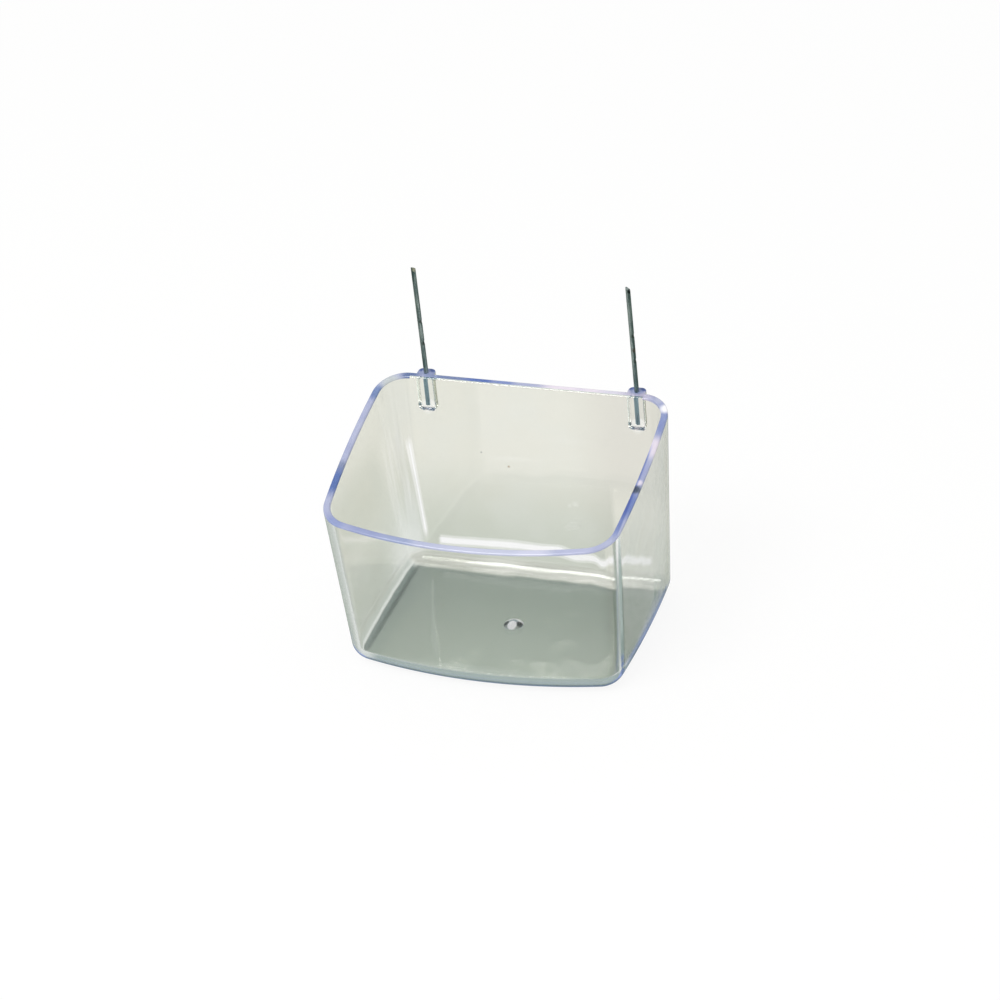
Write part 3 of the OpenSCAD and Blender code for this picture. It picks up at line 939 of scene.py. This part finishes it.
cup.data.materials.clear()
for material in (plastic, gate_light_paint, edge_glow):
    cup.data.materials.append(material)
for slot, rule in ((1, at_gate), (2, at_rim)):
    edit(cup, "FACE")
    print(cup.data.materials[slot].name, "faces:", pick(cup, rule, "faces"))
    cup.active_material_index = slot
    bpy.ops.object.material_slot_assign()
object_mode()

# %% [markdown]
# ## Galvanised wire
#
# Drawn wire has fine streaks along its length under a dull coat of zinc, which is darker at the nicks.
# The left cut end has a painted yellowish highlight, and the right one is painted dark, as shade. Inside
# the sockets the wires look bluer, because the plastic gathers light on them; that blue is painted light.

# %% Finish of the wires
ZINC_DARK, ZINC_PALE, ZINC_BLOOM = (0.10, 0.16, 0.16), (0.42, 0.49, 0.47), (0.20, 0.27, 0.27)
ZINC_SOCKET_LIGHT = (0.26, 0.40, 0.50)

zinc, shader = new_material("galvanised_wire")
shader.inputs["Metallic"].default_value = 1
where = places(zinc)
streak = noise(zinc, where, 900, 4, 0.6, (1, 1, 0.12))
bloom = noise(zinc, where, 350, 4, 0.6, (1, 1, 0.6))
_, _, up = axes(zinc, where)
tone = blend_colours(zinc, between(zinc, streak, 0.35, 0.65), ZINC_DARK, ZINC_PALE)
tone = blend_colours(zinc, between(zinc, bloom, 0.5, 0.7, 0.0, 0.7), tone, ZINC_BLOOM)
# the bluer wire inside the sockets is painted light
tone = blend_colours(zinc, short_of(zinc, up, 55.5, 56.5), tone, ZINC_SOCKET_LIGHT)
# side, how far below the tip, core and reach in millimetres, and colour
WIRE_MARKS_AND_TIP_LIGHT = [(side, depth, 0.3, 0.8, (0.09, 0.11, 0.10)) for side in NICKS for depth in NICKS[side]]
# next: a painted yellowish highlight at the left cut end and painted shade at the right one
WIRE_MARKS_AND_TIP_LIGHT += [("left", 0.6, 0.4, 1.0, (0.72, 0.68, 0.52)), ("right", 0.9, 0.35, 0.9, (0.01, 0.02, 0.02)),
               ("right", 18.0, 0.3, 0.9, (0.17, 0.14, 0.11))]
for side, depth, core, reach, colour in WIRE_MARKS_AND_TIP_LIGHT:
    spot = (socket_places[side] + 0.5, wire_y - 0.3, tips[side] - depth)
    tone = blend_colours(zinc, near(zinc, where, spot, core, reach, 0.9), tone, colour)
bump = add_node(zinc, "Bump", [(streak, "Height")], inputs={"Strength": 0.5, "Distance": 0.05 * MM})
feed(zinc, shader, Base_Color=tone, Roughness=between(zinc, bloom, 0.3, 0.7, 0.32, 0.55),
     Normal=bump.outputs["Normal"])
for wire in wires.values():
    wire.data.materials.clear()
    wire.data.materials.append(zinc)
print(zinc.name, "is done, with", len(WIRE_MARKS_AND_TIP_LIGHT), "marks")

# %% [markdown]
# ## The studio
#
# A wide white floor under a white surrounding, and one large soft lamp from the front left. The clear
# walls mirror a greyer floor than the camera sees, as they do in the photograph, whose own floor was cut
# away.

# %% Floor, surroundings and lamp
bpy.ops.object.select_all(action="DESELECT")
bpy.ops.mesh.primitive_plane_add(size=6, location=(0, 0, -0.0002))
floor = added("studio_floor")
paper, shader = new_material("pale_floor")
shader.inputs["Base Color"].default_value = (0.93, 0.93, 0.91, 1)
shader.inputs["Roughness"].default_value = 0.9
shader.inputs["Specular IOR Level"].default_value = 0.1
path = add_node(paper, "LightPath")
white = add_node(paper, "Emission", inputs={"Color": (1, 1, 1, 1), "Strength": 1.0})
SEEN_WHITE, MIRRORED_GREY = 0.9, (0.24, 0.29, 0.25)
# a ray that a smooth surface bends counts as glossy too, so a mirrored one is glossy and not transmitted
seen, bent = path.outputs["Is Camera Ray"], path.outputs["Is Transmission Ray"]
glossy_only = maths(paper, "SUBTRACT", path.outputs["Is Glossy Ray"], bent)
mirrored = maths(paper, "GREATER_THAN", glossy_only, 0.5)
share = any_of(paper, maths(paper, "MULTIPLY", seen, SEEN_WHITE), bent, mirrored)
paper.node_tree.links.new(blend_colours(paper, mirrored, (1, 1, 1), MIRRORED_GREY), white.inputs["Color"])
mixed = add_node(paper, "MixShader", [(share, 0), (shader.outputs["BSDF"], 1),
                                      (white.outputs["Emission"], 2)])
paper.node_tree.links.new(mixed.outputs["Shader"],
                          paper.node_tree.nodes["Material Output"].inputs["Surface"])
paper.cycles.emission_sampling = "NONE"
floor.data.materials.append(paper)

world = bpy.context.scene.world or bpy.data.worlds.new("studio")
bpy.context.scene.world = world
world.use_nodes = True
sky = world.node_tree.nodes["Background"]
sky.inputs["Color"].default_value = (1, 1, 1, 1)
sky.inputs["Strength"].default_value = 0.75

LAMP_PLACE, LAMP_AIM = Vector((-0.25, -0.45, 0.75)), Vector((0, 0, 0.03))
lamp = bpy.data.lights.new("key_lamp", "AREA")
lamp.shape, lamp.size, lamp.size_y, lamp.energy = "RECTANGLE", 0.5, 0.35, 4
holder = bpy.data.objects.new("key_lamp", lamp)
bpy.context.scene.collection.objects.link(holder)
holder.location = LAMP_PLACE
holder.rotation_euler = (LAMP_AIM - LAMP_PLACE).to_track_quat("-Z", "Y").to_euler()
print("lamp:", round((LAMP_AIM - LAMP_PLACE).length, 2), "m from the cup")

# %% [markdown]
# ## The camera
#
# The camera was fitted to the rim and the outline in the photograph: a long lens, looking down about 35
# degrees from the right of the front, and rolled a little.

# %% Camera
view = bpy.data.cameras.new("photo_camera")
view.sensor_width, view.lens = 36, 122.4
view.clip_start, view.clip_end = 0.01, 50
camera = bpy.data.objects.new("photo_camera", view)
bpy.context.scene.collection.objects.link(camera)
camera.location = (0.273527, -0.667927, 0.503185)
camera.rotation_euler = [math.radians(angle) for angle in (57.1067, 5.5206, 18.6188)]
bpy.context.scene.camera = camera
bpy.context.scene.view_settings.view_transform = "Standard"
print("camera:", round(camera.location.length, 3), "m from the middle of the base")
